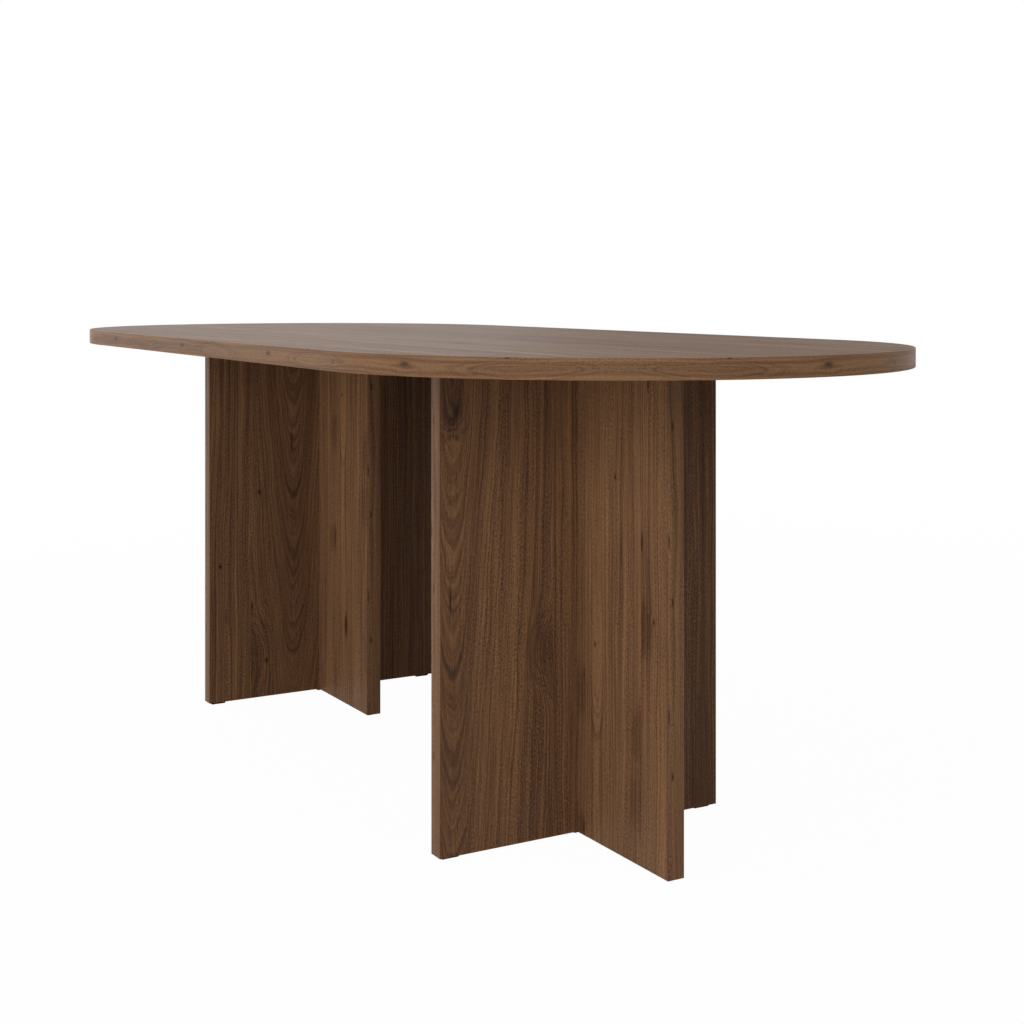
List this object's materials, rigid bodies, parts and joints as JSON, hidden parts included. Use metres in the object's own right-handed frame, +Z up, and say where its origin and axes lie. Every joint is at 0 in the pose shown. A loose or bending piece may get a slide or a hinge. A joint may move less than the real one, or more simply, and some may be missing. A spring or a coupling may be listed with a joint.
{
  "type": "dining table",
  "caption": "Racetrack-oval dining table: a walnut-decor board top with an edge band, on two cross-shaped panel pedestals with foot pads, held together by cam locks, bolts and dowels.",
  "frame": {"origin": "on the floor, below the middle of the top", "axes": "+X along the length of the table, +Y across it, +Z up"},
  "size_m": [2.04, 0.9, 0.75],
  "materials": {
    "walnut_board": "walnut-decor melamine on chipboard, satin",
    "walnut_band": "walnut-decor plastic edge band, satin",
    "foot_plastic": "black moulded plastic",
    "cam_zinc": "bare zinc die casting",
    "bolt_steel": "zinc-plated steel",
    "dowel_beech": "fluted beech, unfinished"
  },
  "bodies": {
    "root": {"tabletop_board": "walnut_board", "tabletop_edge_band": "walnut_band", "left_cross_panel": "walnut_board", "left_outer_wing": "walnut_board", "left_inner_wing": "walnut_board", "left_cross_front_edge_band": "walnut_band", "left_cross_rear_edge_band": "walnut_band", "left_outer_wing_edge_band": "walnut_band", "left_inner_wing_edge_band": "walnut_band", "left_cross_front_foot": "foot_plastic", "left_cross_middle_foot": "foot_plastic", "left_cross_rear_foot": "foot_plastic", "left_outer_wing_foot": "foot_plastic", "left_inner_wing_foot": "foot_plastic", "left_cross_front_top_cam": "cam_zinc", "left_cross_rear_top_cam": "cam_zinc", "left_outer_wing_top_cam": "cam_zinc", "left_outer_wing_lower_cam": "cam_zinc", "left_outer_wing_upper_cam": "cam_zinc", "left_inner_wing_top_cam": "cam_zinc", "left_inner_wing_lower_cam": "cam_zinc", "left_inner_wing_upper_cam": "cam_zinc", "left_cross_front_top_bolt": "bolt_steel", "left_cross_rear_top_bolt": "bolt_steel", "left_outer_wing_top_bolt": "bolt_steel", "left_inner_wing_top_bolt": "bolt_steel", "left_wing_lower_bolt": "bolt_steel", "left_wing_upper_bolt": "bolt_steel", "left_wing_lower_dowel": "dowel_beech", "left_wing_upper_dowel": "dowel_beech", "right_cross_panel": "walnut_board", "right_outer_wing": "walnut_board", "right_inner_wing": "walnut_board", "right_cross_front_edge_band": "walnut_band", "right_cross_rear_edge_band": "walnut_band", "right_outer_wing_edge_band": "walnut_band", "right_inner_wing_edge_band": "walnut_band", "right_cross_front_foot": "foot_plastic", "right_cross_middle_foot": "foot_plastic", "right_cross_rear_foot": "foot_plastic", "right_outer_wing_foot": "foot_plastic", "right_inner_wing_foot": "foot_plastic", "right_cross_front_top_cam": "cam_zinc", "right_cross_rear_top_cam": "cam_zinc", "right_outer_wing_top_cam": "cam_zinc", "right_outer_wing_lower_cam": "cam_zinc", "right_outer_wing_upper_cam": "cam_zinc", "right_inner_wing_top_cam": "cam_zinc", "right_inner_wing_lower_cam": "cam_zinc", "right_inner_wing_upper_cam": "cam_zinc", "right_cross_front_top_bolt": "bolt_steel", "right_cross_rear_top_bolt": "bolt_steel", "right_outer_wing_top_bolt": "bolt_steel", "right_inner_wing_top_bolt": "bolt_steel", "right_wing_lower_bolt": "bolt_steel", "right_wing_upper_bolt": "bolt_steel", "right_wing_lower_dowel": "dowel_beech", "right_wing_upper_dowel": "dowel_beech"}
  },
  "joints": []
}
